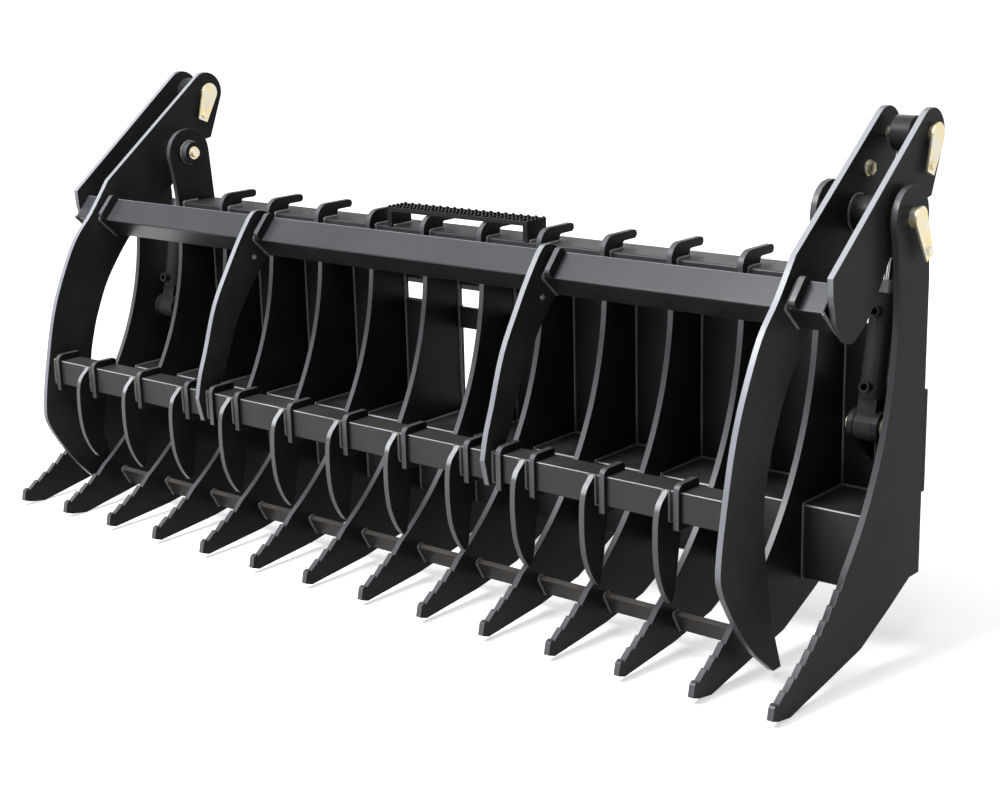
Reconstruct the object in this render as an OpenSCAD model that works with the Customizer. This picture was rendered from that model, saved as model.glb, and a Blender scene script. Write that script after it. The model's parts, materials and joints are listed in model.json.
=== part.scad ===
// Grapple rake: a toothed rake frame for a loader, with one full-width clamp
// that two hydraulic cylinders open and close. X runs along the width, the jaw
// opens towards -Y, and the part stands on the heels of its tines.

/* [Rake plates] */
// Width over the two end plates
rake_w = 2133.6; // [1800:10:2600]
// Thickness of the tine, ear and end plates
plate_t = 12.7; // [8:0.1:16]
// Front of the back wall to the tine tips
tine_reach = 519; // [480:1:600]
// Top of the bottom beam down to the tine tips
tine_drop = 264; // [240:1:320]
// Radius of the hollow front edge of the tines
jaw_r = 664.5; // [640:0.5:760]
// Back wall to the hollow front edge, where it is narrowest
throat_d = 101.5; // [98:0.5:130]
// Height of the narrowest place above the bottom beam
throat_z = 375; // [350:1:390]
// Length of one serration near the tine tips
serration_pitch = 32; // [20:1:45]
// Depth of one serration
serration_d = 6; // [2:0.5:10]

/* [Frame members] */
// Side of the square top tube
top_tube_s = 101.6; // [80:0.1:110]
// Top of the bottom beam to the underside of the top tube
top_tube_z = 327; // [310:1:340]
// Height of the tine hook above the top tube
hook_h = 33; // [20:1:45]
// Depth of the bottom beam, front to back
beam_d = 148; // [100:1:160]
// Height of the bottom beam
beam_h = 149; // [100:1:150]
// Wall of the bottom beam and the top tube
beam_wall = 9.5; // [5:0.5:12]
// Width of the flat front cross bar
cross_bar_w = 44; // [38:1:50]
// Forward lean of the front cross bar
cross_bar_lean = 29; // [20:1:40]
// Thickness of the back wall
wall_t = 12.7; // [6:0.1:16]
// Height of the back wall in the two end bays
end_wall_h = 212; // [150:1:240]

/* [Loader mount] */
// Thickness of the quick-attach plates, lip and foot
attach_t = 9.5; // [6:0.5:13]
// Middle to middle of the two latch slots
latch_spacing = 1016; // [900:2:1040]
// Middle of a latch slot to the end of its quick-attach plate
latch_edge = 57; // [45:1:70]
// Length of a latch slot along the width
latch_slot_l = 64; // [50:1:80]
// Width of a latch slot
latch_slot_w = 26; // [20:1:32]
// Length of the angled foot that holds the slots
foot_l = 74; // [60:1:80]
// Drop of the foot below level
foot_angle = 30; // [15:1:40]
// Length of the top lip down its 45 degree slope
lip_l = 62; // [40:1:70]

/* [Step] */
// Length of the step
step_l = 400; // [350:5:480]
// Depth of the step, front to back
step_d = 65; // [50:1:80]
// Height of the step's side rails
step_h = 14; // [10:1:20]
// Distance between the serrated bars of the step
step_pitch = 20; // [15:1:30]

/* [Clamp] */
// Back wall to the clamp pivot, measured forwards
pivot_fwd = 60; // [50:1:70]
// Height of the clamp pivot above the bottom beam
pivot_z = 548; // [530:1:600]
// Radius of the rounded corners of the ears
ear_r = 58; // [48:1:62]
// Diameter of the pivot pins
pivot_pin_d = 31.75; // [25:0.25:38]
// Clamp pivot down to the tips of the outer claws
claw_drop = 812; // [780:1:850]
// Clamp pivot to the foremost point of the outer claws
claw_reach = 450; // [430:1:470]
// Side of the upper square tube across the clamp
upper_tube_s = 63.5; // [54:0.5:66]
// Side of the lower square tube across the clamp
clamp_tube_s = 58; // [50:1:64]
// Wall of the square tubes across the clamp
clamp_tube_wall = 6; // [3:0.5:8]
// Tilt of the upper clamp tube
upper_tilt = 47; // [40:1:50]
// Thickness of the arm plates and claws
arm_t = 12.7; // [8:0.1:16]
// Thickness of the fingers on the lower clamp tube
finger_t = 12.7; // [8:0.1:16]
// Gap between an end plate and the arm plate beside it
arm_side_gap = 10.75; // [10.5:0.25:14]
// Gap between the two plates of an arm
arm_gap = 76.3; // [70:0.1:80]

/* [Cylinders] */
// Clamp pivot back to the rod pin
rod_pin_back = 112; // [100:1:125]
// Clamp pivot up to the rod pin
rod_pin_up = 135; // [125:1:145]
// Diameter of the rod pins and the cylinder base pins
rod_pin_d = 25.4; // [20:0.1:27]
// Back wall to the cylinder base pin, measured forwards
base_pin_fwd = 66; // [64:1:72]
// Height of the cylinder base pin above the bottom beam
base_pin_z = 150; // [140:1:160]
// Outside diameter of the cylinder barrel
barrel_d = 50.8; // [44:0.1:54]
// Bore of the cylinder barrel
bore_d = 41; // [36:0.5:42]
// Diameter of the chrome rod
rod_d = 28.6; // [20:0.1:30]
// Base pin to the top of the barrel at rest
barrel_top = 250; // [240:1:256]
// Width of the eyes at both ends of a cylinder
eye_w = 38; // [30:1:42]

/* [Hidden] */
$fn = 48;

paint = "#1b1d1f";
paint_light = "#34373b";
zinc = "#cfae5c";
steel = "#9a9da1";
chrome = "#c9ccd0";

// Overrun of a cut past the face it opens
cut = 1;
// Clearance of a pin that stays put in its plate
pin_gap = 0.1;
// Clearance of a surface that turns or slides on another
run_gap = 0.15;
// Clearance of a side face that moves past another
side_gap = 0.3;

plate_count = 14;
pitch = (rake_w - plate_t) / (plate_count - 1);
middle_index = (plate_count + 1) / 2;
function plate_x(i) = (i - middle_index) * pitch;
end_in = plate_x(plate_count) - plate_t / 2;
ear_in = plate_x(plate_count - 1) - plate_t / 2;
ear_out = plate_x(plate_count - 1) + plate_t / 2;
hub_out = end_in - arm_side_gap;
arm_outer_x = hub_out - arm_t / 2;
cyl_x = hub_out - arm_t - arm_gap / 2;
arm_inner_x = cyl_x - arm_gap / 2 - arm_t / 2;
hub_in = arm_inner_x - arm_t / 2;

pivot = [-pivot_fwd, pivot_z];
rod_pin = pivot + [rod_pin_back, rod_pin_up];
base_pin = [-base_pin_fwd, base_pin_z];

// The heel of the end plates reaches lowest, and the rod pin lobe highest and rearmost
heel_share = 1.053;
lobe_r = 50;
low_z = -heel_share * tine_drop;
rear_y = rod_pin[0] + lobe_r;
origin_y = (rear_y - tine_reach) / 2;

module place() {
    translate([0, -origin_y, -low_z]) children();
}

// A plate of thickness t whose outline is drawn with Y and Z, centred on x
module plate(x, t) {
    translate([x - t / 2, 0, 0]) rotate([90, 0, 90]) linear_extrude(height = t) children();
}

// A round bar along X through the point p of the YZ plane
module bar_x(p, x0, x1, r) {
    translate([x0, p[0], p[1]]) rotate([0, 90, 0]) cylinder(h = x1 - x0, r = r);
}

// A square drawn by its two corners
module span(a, b) {
    translate([min(a[0], b[0]), min(a[1], b[1])])
        square([abs(b[0] - a[0]), abs(b[1] - a[1])]);
}

// The shape and its mirror image to the left
module sides(right) {
    if (right) children();
    else mirror([1, 0, 0]) children();
}

function unit(v) = v / norm(v);
function turn(v, a) = [v[0] * cos(a) - v[1] * sin(a), v[0] * sin(a) + v[1] * cos(a)];
function ang(v) = atan2(v[1], v[0]);
full_turn = 360;

// Arc points around c from angle a to angle b
function arc(c, r, a, b, n = 8) = [for (k = [0:n]) let (t = a + (b - a) * k / n) c + r * [cos(t), sin(t)]];

// One corner q of an outline, between p and s, replaced by an arc of radius r
function corner(p, q, s, r) =
    let (u = unit(p - q), v = unit(s - q), half = acos(u * v) / 2,
        reach = min(r / tan(half), min(norm(p - q), norm(s - q)) * corner_limit_share),
        rr = reach * tan(half), c = q + unit(u + v) * rr / sin(half),
        a = ang(q + u * reach - c), b0 = ang(q + v * reach - c),
        b = b0 - a > full_turn / 2 ? b0 - full_turn : b0 - a < -full_turn / 2 ? b0 + full_turn : b0)
    rr <= 0 ? [q] : arc(c, rr, a, b, corner_steps);
corner_limit_share = 0.48;
corner_steps = 5;

// An outline of [point, corner radius] pairs
function rounded(list) = [for (k = [0:len(list) - 1])
    let (n = len(list), p = list[(k + n - 1) % n][0], s = list[(k + 1) % n][0])
    each (list[k][1] > 0 ? corner(p, list[k][0], s, list[k][1]) : [list[k][0]])];

// A smooth curve through the points, with n steps between each two
function bend(p, n = 4) = [for (k = [0:len(p) - 2]) let (
    a = p[max(k - 1, 0)], b = p[k], c = p[k + 1], d = p[min(k + 2, len(p) - 1)])
    for (j = [0:(k == len(p) - 2 ? n : n - 1)]) let (t = j / n)
    (b * 2 + (c - a) * t + (a * 2 - b * 5 + c * 4 - d) * t * t + (b * 3 - a - c * 3 + d) * t * t * t) / 2];

// Where the line from q touches the circle around c; side is 1 or -1
function touch(c, r, q, side) =
    c + r * turn(unit(q - c), side * acos(r / norm(q - c)));

// Tines, ear plates and end plates
// The underside of a tine, from its tip to its rear, as shares of reach and drop
heel_shares = [[0.99, 0.915], [1, 1], [0.963, 1.027]];
end_heel_shares = [[0.886, heel_share], [0.405, 0.886], [0.19, 0.7]];
tine_heel_shares = [[0.65, 0.97], [0.405, 0.886], [0.19, 0.7]];
rear_heel_share = 0.05;
// The hook lies on the tube with its front half, and its rounded nose hangs clear above the tube
hook_front_share = 0.4;
hook_seat = 44;
hook_gap = 15;
hook_nose = 5;
tip_angle = acos((jaw_r + throat_d - tine_reach) / jaw_r);
jaw_centre = [-throat_d - jaw_r, throat_z];
post_z = throat_z - top_tube_s;

function heel(shares) = [for (s = concat(heel_shares, shares)) [-s[0] * tine_reach, -s[1] * tine_drop]];

// The toothed part of every plate, before the hollow front edge is cut
module tine_foot(shares, top_z, rear, bottom_z) {
    polygon(concat([[-throat_d, top_z]], heel(shares),
        [[-rear_heel_share * tine_reach, bottom_z], [rear, bottom_z], [rear, top_z]]));
}

// The hollow front edge with its serrations, from the tip upwards
module jaw(x, teeth) {
    bar_x(jaw_centre, x - plate_t / 2 - cut, x + plate_t / 2 + cut, jaw_r);
    step_angle = serration_pitch / jaw_r * 180 / PI;
    for (k = [0:teeth - 1])
        plate(x, plate_t + 2 * cut)
            translate(jaw_centre) rotate(-tip_angle + step_angle * (k + 1 / 2))
                polygon([[jaw_r - cut, 0], [jaw_r - cut, serration_pitch],
                    [jaw_r, serration_pitch * sawtooth_share], [jaw_r + serration_d, 0]]);
}
sawtooth_share = 0.85;

tube_front = wall_t - top_tube_s;
tube_top = top_tube_z + top_tube_s;

// Serrations on an inner and on an outer plate
tine_teeth = 4;
end_teeth = 9;

module tine(i) {
    color(paint) place() difference() {
        union() {
            difference() {
                plate(plate_x(i), plate_t) tine_foot(tine_heel_shares, throat_z, 0, -beam_h);
                jaw(plate_x(i), tine_teeth);
            }
            plate(plate_x(i), plate_t) polygon(rounded([
                [[-throat_d, throat_z - cut], 0],
                [[-throat_d - hook_h * hook_front_share, tube_top + hook_h], hook_h],
                [[hook_nose, tube_top + hook_h], hook_h - hook_gap],
                [[hook_nose, tube_top + hook_gap], hook_h - hook_gap],
                [[tube_front + hook_seat, tube_top + hook_gap], hook_gap],
                [[tube_front + hook_seat, tube_top], 0],
                [[tube_front, tube_top], 0],
                [[tube_front, throat_z - cut], 0]]));
        }
        frame_notches(plate_x(i));
    }
}

// Room in a plate for the top tube, the bottom beam and the cross bar
module frame_notches(x) {
    plate(x, plate_t + 2 * cut) {
        span([tube_front, top_tube_z], [wall_t + cut, tube_top]);
        span([-beam_d, 0], [cut, -beam_h - cut]);
        cross_bar_outline();
    }
}

// The cross bar stands square to the hollow edge, its foot a little above the tines' underside
cross_bar_fwd_share = 0.6115;
cross_bar_clear = 19;
module cross_bar_outline() {
    translate([-cross_bar_fwd_share * tine_reach,
        cross_bar_clear - lookup(cross_bar_fwd_share, tine_heel_shares) * tine_drop])
        rotate(cross_bar_lean) translate([-plate_t / 2, 0]) square([plate_t, cross_bar_w]);
}

// The post that carries the clamp pivot: its front follows the hollow edge up to the round ear
ear_lead = 4.5;
ear_front = pivot[0] - ear_r - ear_lead;
ear_top = pivot_z + ear_r;
module post(rear) {
    polygon(rounded([
        [[ear_front, post_z - ear_r], 0],
        [[ear_front, ear_top], ear_r],
        [[pivot[0] + ear_r, ear_top], ear_r],
        [[wall_t, tube_top], 0],
        [[rear, top_tube_z], 0],
        [[rear, post_z - ear_r], 0]]));
}

module post_plate(x, shares, rear, teeth) {
    difference() {
        plate(x, plate_t) {
            tine_foot(shares, post_z, rear, -beam_h);
            post(rear);
        }
        jaw(x, teeth);
    }
}

boss_r = 27;
boss_t = 18;

module end_plate(right) {
    color(paint) place() sides(right) difference() {
        post_plate(plate_x(plate_count), end_heel_shares, wall_t, end_teeth);
        bar_x(pivot, end_in - cut, end_in + plate_t + cut, pivot_pin_d / 2 + pin_gap);
    }
}

module ear_plate(right) {
    color(paint) place() sides(right) difference() {
        union() {
            difference() {
                post_plate(plate_x(plate_count - 1), end_heel_shares, 0, tine_teeth);
                plate(plate_x(plate_count - 1), plate_t + 2 * cut)
                    span([-beam_d, 0], [cut, -beam_h - cut]);
            }
            bar_x(pivot, ear_in - boss_t, ear_in, boss_r);
        }
        bar_x(pivot, ear_in - boss_t - cut, ear_out + cut, pivot_pin_d / 2 + pin_gap);
    }
}

// Members along the width
module top_tube() {
    color(paint_light) place() difference() {
        plate(0, 2 * ear_in) span([tube_front, top_tube_z], [wall_t, tube_top]);
        plate(0, 2 * ear_in + 2 * cut) span([tube_front + beam_wall, top_tube_z + beam_wall],
            [wall_t - beam_wall, tube_top - beam_wall]);
    }
}

module bottom_beam() {
    color(paint_light) place() difference() {
        plate(0, 2 * end_in) span([-beam_d, -beam_h], [0, 0]);
        plate(0, 2 * end_in + 2 * cut) span([-beam_d + beam_wall, -beam_h + beam_wall],
            [-beam_wall, -beam_wall]);
    }
}

module front_cross_bar() {
    color(paint_light) place() plate(0, 2 * ear_in) cross_bar_outline();
}

// The back wall: windows are shares of the height under the top tube
window_shares = [0.74, 0.899];
door_shares = [0.028, 0.596];
module wall_block(x0, x1, z0, z1, y0, y1) {
    translate([x0, y0, z0]) cube([x1 - x0, y1 - y0, z1 - z0]);
}

// Room beside the barrels, which swing back through the open top of the end bays
cylinder_room = 12;
wall_side = cyl_x - barrel_d / 2 - cylinder_room;

module back_wall() {
    bay = pitch - plate_t;
    color(paint) place() difference() {
        union() {
            wall_block(-end_in, end_in, -beam_h, end_wall_h, 0, wall_t);
            wall_block(-wall_side, wall_side, end_wall_h - cut, top_tube_z, 0, wall_t);
        }
        for (k = [-1:1])
            wall_block(k * pitch - bay / 2, k * pitch + bay / 2, top_tube_z * window_shares[0],
                top_tube_z * window_shares[1], -cut, wall_t + cut);
        wall_block(-bay / 2, bay / 2, top_tube_z * door_shares[0], top_tube_z * door_shares[1],
            -cut, wall_t + cut);
    }
}

// Stiffeners behind the end bays
corner_low_share = 0.052;
module corner_plates() {
    color(paint) place() for (right = [true, false])
        sides(right) wall_block(ear_in - plate_t, end_in + plate_t, end_wall_h * corner_low_share,
            end_wall_h, wall_t, 2 * wall_t);
}

// Quick-attach plates with their angled feet
attach_w = latch_spacing + 2 * latch_edge;
attach_y = wall_t;
attach_low_share = 0.63;
foot_top = -beam_h * attach_low_share;
attach_high = top_tube_z * window_shares[0];
slot_out_share = 0.62;
module attach_plate(right) {
    color(paint) place() sides(right) difference() {
        translate([pitch / 2, 0, 0]) rotate([90, 0, 90])
            linear_extrude(height = attach_w / 2 - pitch / 2) {
                span([attach_y, foot_top], [attach_y + attach_t, attach_high]);
                intersection() {
                    translate([attach_y + attach_t, foot_top]) rotate(-foot_angle)
                        translate([-attach_t / tan(foot_angle) - attach_t, 0])
                            square([foot_l + attach_t / tan(foot_angle) + attach_t, attach_t]);
                    span([attach_y, -2 * beam_h], [attach_y + 2 * foot_l, attach_high]);
                }
            }
        translate([latch_spacing / 2, attach_y + attach_t, foot_top]) rotate([-foot_angle, 0, 0])
            translate([0, foot_l * slot_out_share, -cut]) latch_slot();
    }
}

module latch_slot() {
    for (s = [-1, 1])
        translate([s * (latch_slot_l - latch_slot_w) / 2, 0, 0])
            cylinder(h = attach_t + 2 * cut, d = latch_slot_w);
    translate([-(latch_slot_l - latch_slot_w) / 2, -latch_slot_w / 2, 0])
        cube([latch_slot_l - latch_slot_w, latch_slot_w, attach_t + 2 * cut]);
}

module lip_outline() {
    h = attach_t * sqrt(2);
    drop = lip_l / sqrt(2);
    polygon([[wall_t, top_tube_z], [wall_t, top_tube_z - h], [wall_t + drop, top_tube_z - h - drop],
        [wall_t + drop + h / 2, top_tube_z - h / 2 - drop]]);
}

module attach_top_lip() {
    drop = lip_l / sqrt(2);
    color(paint) place() {
        plate(0, attach_w) lip_outline();
        for (s = [-1, 1])
            plate(s * (attach_w / 2 - attach_t / 2), attach_t)
                polygon([[wall_t, top_tube_z - attach_t * sqrt(2)], [wall_t, attach_high],
                    [wall_t + drop / 2, attach_high],
                    [wall_t + drop, top_tube_z - attach_t * sqrt(2) - drop]]);
    }
}

// Step over the middle of the top tube
step_over = 1;
step_front = tube_front - step_over;
step_z = tube_top + hook_h;
step_bar_t = 4;
step_teeth = 5;
tooth_share = 0.3;
module step_bar(x) {
    tooth = step_d / step_teeth;
    plate(x, step_bar_t) polygon(concat([[step_front + step_d, step_z], [step_front, step_z]],
        [for (k = [0:step_teeth - 1]) each [
            [step_front + k * tooth, step_z + step_h * (1 - tooth_share)],
            [step_front + (k + 1 / 2) * tooth, step_z + step_h]]],
        [[step_front + step_d, step_z + step_h * (1 - tooth_share)]]));
}

module step_grating() {
    bars = floor((step_l - step_bar_t) / step_pitch);
    color(paint_light) place() {
        for (k = [0:bars])
            step_bar((k - bars / 2) * (step_l - step_bar_t) / bars);
        for (y = [step_front, step_front + step_d - step_bar_t])
            translate([-step_l / 2, y, step_z])
                cube([step_l, step_bar_t, step_h * (1 - tooth_share)]);
    }
}

module step_brackets() {
    color(paint) place() for (s = [-1, 1])
        plate(s * (step_l - plate_t) / 2, plate_t)
            span([step_front, tube_top], [step_front + step_d, step_z]);
}

// Cylinder base lugs, on the back wall inside the end bays
lug_r = 30;
lug_low_share = 0.3;
lug_high_share = 0.78;
lug_t = 12.7;
lug_in = eye_w / 2 + side_gap;
module lug_outline() {
    low = [0, end_wall_h * lug_low_share];
    high = [0, end_wall_h * lug_high_share];
    polygon([low, touch(base_pin, lug_r, low, -1), base_pin, touch(base_pin, lug_r, high, 1), high]);
    translate(base_pin) circle(lug_r);
}

module cylinder_lugs() {
    color(paint) place() for (right = [true, false], s = [-1, 1])
        sides(right) difference() {
            plate(cyl_x + s * (lug_in + lug_t / 2), lug_t) lug_outline();
            bar_x(base_pin, cyl_x - lug_in - lug_t - cut, cyl_x + lug_in + lug_t + cut,
                rod_pin_d / 2 + pin_gap);
        }
}

pin_head_t = 6;
pin_head_r = 20;
module base_pin(right) {
    color(zinc) place() sides(right) {
        bar_x(base_pin, cyl_x - lug_in - lug_t - pin_head_t, cyl_x + lug_in + lug_t, rod_pin_d / 2);
        bar_x(base_pin, cyl_x + lug_in + lug_t, cyl_x + lug_in + lug_t + pin_head_t, pin_head_r);
        bar_x(base_pin, cyl_x - lug_in - lug_t - pin_head_t, cyl_x - lug_in - lug_t, pin_head_r);
    }
}

// A pin end that stands out from a face at x, and its locking flag of length l from p along angle a
pin_end_r = 19;
flag_t = 5;
flag_w = 28;
flag_bolt_r = 8;
flag_bolt_t = 4;
module flag(p, x, stand, a, head_r, l) {
    bar_x(p, x, x + stand, pin_end_r);
    plate(x + stand + flag_t / 2, flag_t) translate(p) rotate(a) {
        circle(head_r);
        polygon([[0, head_r], [l, flag_w / 2], [l, -flag_w / 2], [0, -head_r]]);
    }
    bar_x(p + turn([l - flag_w / 2, 0], a), x + stand + flag_t, x + stand + flag_t + flag_bolt_t,
        flag_bolt_r);
}

pivot_head_r = 22;
pivot_stand = 13;
pivot_flag_l = 86;
spacer_r = 26;
flag_angle = -64;
end_bolt_r = 11;
end_bolt_t = 8;
module pivot_pin(right) {
    color(zinc) place() sides(right) {
        bar_x(pivot, ear_in - boss_t, end_in + plate_t + pivot_stand, pivot_pin_d / 2);
        bar_x(pivot, ear_in - boss_t - end_bolt_t, ear_in - boss_t, end_bolt_r);
        flag(pivot, end_in + plate_t, pivot_stand, flag_angle, pivot_head_r, pivot_flag_l);
        spacer(ear_out + side_gap, hub_in - side_gap);
        spacer(hub_out + side_gap, end_in - side_gap);
    }
}

// A loose ring on the pivot pin that keeps the clamp in the middle
module spacer(x0, x1) {
    difference() {
        bar_x(pivot, x0, x1, spacer_r);
        bar_x(pivot, x0 - cut, x1 + cut, pivot_pin_d / 2 + run_gap);
    }
}

// Clamp outlines, from the pivot, as shares of the claw's reach and drop
claw_front_shares = [[0.48, 0.057], [0.602, 0.145], [0.722, 0.217], [0.833, 0.33], [0.902, 0.427],
    [0.955, 0.545], [1, 0.68], [0.985, 0.75], [0.86, 0.861], [0.738, 0.938]];
claw_tip_shares = [[0.602, 1], [0.542, 1]];
claw_rear_shares = [[0.6, 0.908], [0.645, 0.8], [0.684, 0.68], [0.688, 0.584], [0.652, 0.5],
    [0.602, 0.427], [0.524, 0.344], [0.384, 0.246], [0.289, 0.2]];
inner_front_shares = [[0.572, 0.108], [0.64, 0.157], [0.722, 0.226], [0.829, 0.326], [0.907, 0.446],
    [0.951, 0.51], [0.976, 0.568]];
inner_foot_shares = [[0.95, 0.632], [0.9, 0.632]];
inner_rear_shares = [[0.85, 0.564], [0.78, 0.49], [0.7, 0.385], [0.56, 0.275], [0.4, 0.185]];
function claw_pt(s) = pivot + [-s[0] * claw_reach, -s[1] * claw_drop];
function claw_pts(shares) = [for (s = shares) claw_pt(s)];

upper_share = [0.462, 0.1648];
lower_share = [0.86, 0.589];
upper_c = claw_pt(upper_share);
lower_c = claw_pt(lower_share);
module upper_square(s = upper_tube_s) {
    translate(upper_c) rotate(upper_tilt) square(s, center = true);
}
module lower_square(s = clamp_tube_s) {
    translate(lower_c) square(s, center = true);
}

hub_plate_r = 78;
hub_r = 34;
hub_bore_r = 21;
hub_inner_from = -100;
hub_outer_from = -118;
hub_to = 12;
lobe_steps = 12;
waist_shares = [[-0.338, -0.08], [-0.262, -0.028]];

// The rod pin lobe and the straight upper edge down to q
function arm_top(q) = let (
    a = touch(rod_pin, lobe_r, q, -1), b = touch(rod_pin, lobe_r, claw_pt(waist_shares[0]), 1),
    a0 = ang(a - rod_pin), b0 = ang(b - rod_pin))
    arc(rod_pin, lobe_r, b0, a0 < b0 ? a0 + full_turn : a0, lobe_steps);

module arm_bores() {
    bar_x(pivot, hub_in - cut, hub_out + cut, hub_bore_r);
    bar_x(rod_pin, hub_in - cut, hub_out + cut, rod_pin_d / 2 + pin_gap);
}

module arm_inner(right) {
    front = claw_pts(claw_front_shares);
    color(paint) place() sides(right) difference() {
        plate(arm_inner_x, arm_t) polygon(concat(arm_top(front[0]), bend(front),
            claw_pts(claw_tip_shares), bend(claw_pts(claw_rear_shares)),
            arc(pivot, hub_plate_r, hub_inner_from, hub_to), [claw_pt(waist_shares[1])]));
        plate(arm_inner_x, arm_t + 2 * cut) upper_square();
        arm_bores();
    }
}

outer_lobe_shares = [[0.538, 0.092], [0.533, 0.133], [0.507, 0.2], [0.391, 0.259], [0.26, 0.214],
    [0.182, 0.164]];
module arm_outer(right) {
    lobe = claw_pts(outer_lobe_shares);
    color(paint) place() sides(right) difference() {
        plate(arm_outer_x, arm_t) polygon(concat(arm_top(lobe[0]),
            rounded([for (k = [0:len(lobe) - 1]) [lobe[k], k > 0 && k < len(lobe) - 1 ? lobe_corner_r : 0]]),
            arc(pivot, hub_plate_r, hub_outer_from, hub_to), [claw_pt(waist_shares[1])]));
        arm_bores();
    }
}
lobe_corner_r = 30;

// The inner claws stand in front of the fifth and tenth plates
claw_x = plate_x(10);
module claw(right) {
    x = claw_x;
    color(paint) place() sides(right) difference() {
        plate(x, arm_t) polygon(concat(bend(claw_pts(inner_front_shares)), claw_pts(inner_foot_shares),
            bend(claw_pts(inner_rear_shares)), bend(claw_pts(claw_crown_shares))));
        plate(x, arm_t + 2 * cut) {
            upper_square();
            lower_square();
        }
        bar_x(claw_pt(claw_hole_share), x - arm_t / 2 - cut, x + arm_t / 2 + cut, claw_hole_d / 2);
    }
}
claw_hole_d = 12;
claw_hole_share = [0.56, 0.2155];
claw_crown_shares = [[0.375, 0.185], [0.38, 0.15], [0.415, 0.118], [0.465, 0.096], [0.53, 0.091],
    [0.572, 0.108]];

module upper_beam() {
    color(paint_light) place() difference() {
        plate(0, 2 * (hub_out - arm_t)) upper_square();
        plate(0, 2 * hub_out) upper_square(upper_tube_s - 2 * clamp_tube_wall);
    }
}

module lower_beam() {
    color(paint_light) place() difference() {
        plate(0, 2 * hub_in) lower_square();
        plate(0, 2 * hub_in + 2 * cut) lower_square(clamp_tube_s - 2 * clamp_tube_wall);
    }
}

finger_count = 11;
finger_front_shares = [[0, -0.5], [0.15, -0.36], [0.42, -0.1], [0.56, 0.3], [0.6, 0.9], [0.58, 1.5],
    [0.48, 2.15], [0.22, 2.8], [-0.1, 3.25]];
finger_rear_shares = [[-0.28, 3.15], [-0.42, 2.5], [-0.56, 1.6], [-0.7, 0.8]];
function finger_x(n) = (n - (finger_count + 1) / 2) * pitch;
module finger(n) {
    x = finger_x(n);
    color(paint) place() difference() {
        plate(x, finger_t) polygon(concat(
            bend([for (s = finger_front_shares) lower_c + clamp_tube_s * [-1 / 2 - s[0], -s[1]]]),
            bend([for (s = finger_rear_shares) lower_c + clamp_tube_s * [-1 / 2 - s[0], -s[1]]])));
        plate(x, finger_t + 2 * cut) lower_square();
    }
}

// A second plate stands to the right of every finger, claw and inner arm plate
saddle_over = 15;
saddle_down_share = 0.72;
module lower_saddles() {
    for (x = concat([-arm_inner_x, -claw_x, claw_x], [for (n = [1:finger_count]) finger_x(n)]))
        difference() {
            plate(x + arm_t / 2 + saddle_off, finger_t) polygon(rounded([
                [lower_c + [-clamp_tube_s / 2 - saddle_front, -clamp_tube_s * saddle_down_share], 0],
                [lower_c + [-clamp_tube_s / 2 - saddle_front, clamp_tube_s / 2 + saddle_over], saddle_over],
                [lower_c + [clamp_tube_s / 2, clamp_tube_s / 2 + saddle_over], saddle_over],
                [lower_c + [clamp_tube_s / 2, clamp_tube_s / 2], 0],
                [lower_c + [0, clamp_tube_s / 2 - cut], 0],
                [lower_c + [0, -clamp_tube_s / 2 + cut], 0],
                [lower_c + [0, -clamp_tube_s * saddle_down_share], 0]]));
            plate(x + arm_t / 2 + saddle_off, finger_t + 2 * cut) lower_square();
        }
}
saddle_off = 20;
saddle_front = 8;

// On the upper tube they cover its upper front face only
saddle_rise = 20;
saddle_corner_r = 12;
module upper_saddles() {
    for (x = [-arm_inner_x, -claw_x, claw_x, arm_inner_x])
        plate(x + arm_t / 2 + saddle_off, finger_t) translate(upper_c) rotate(upper_tilt)
            polygon(rounded([
                [[-upper_tube_s / 2, upper_tube_s / 2], 0],
                [[-upper_tube_s / 2, upper_tube_s / 2 + saddle_rise], saddle_corner_r],
                [[upper_tube_s / 2, upper_tube_s / 2 + saddle_rise], saddle_corner_r],
                [[upper_tube_s / 2, upper_tube_s / 2], 0]]));
}

module beam_saddles() {
    color(paint) place() {
        lower_saddles();
        upper_saddles();
    }
}

module arm_hubs() {
    color(paint) place() for (right = [true, false])
        sides(right) difference() {
            bar_x(pivot, hub_in + arm_t, hub_out - arm_t, hub_r);
            bar_x(pivot, hub_in, hub_out, hub_bore_r);
        }
}

module pivot_bushes() {
    color(steel) place() for (right = [true, false])
        sides(right) difference() {
            bar_x(pivot, hub_in, hub_out, hub_bore_r);
            bar_x(pivot, hub_in - cut, hub_out + cut, pivot_pin_d / 2 + run_gap);
        }
}

rod_head_r = 24;
rod_stand = 8;
rod_flag_l = 72;
rod_flag_angle = -112;
module rod_pin(right) {
    x0 = right ? hub_in : -hub_out;
    x1 = right ? hub_out : -hub_in;
    color(zinc) place() {
        bar_x(rod_pin, x0 - pin_head_t, x1, rod_pin_d / 2);
        flag(rod_pin, x1, rod_stand, rod_flag_angle, rod_head_r, rod_flag_l);
        bar_x(rod_pin, x0 - pin_head_t, x0, pin_head_r);
    }
}

// Cylinders: drawn upright on the base pin, then leaned to meet the rod pin
cyl_dir = rod_pin - base_pin;
cyl_len = norm(cyl_dir);
lean = ang(cyl_dir) - 90;
module along(right) {
    place() sides(right) translate([cyl_x, base_pin[0], base_pin[1]]) rotate([lean, 0, 0]) children();
}

eye_r = 28;
barrel_low = 52;
port_r = 11;
port_h = 14;
port_bore_r = 7;
port_low_share = 0.29;
port_high_share = 0.856;
gland_h = 24;
gland_over = 1.5;
gland_r = barrel_d / 2 + gland_over;
floor_t = 12;

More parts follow.
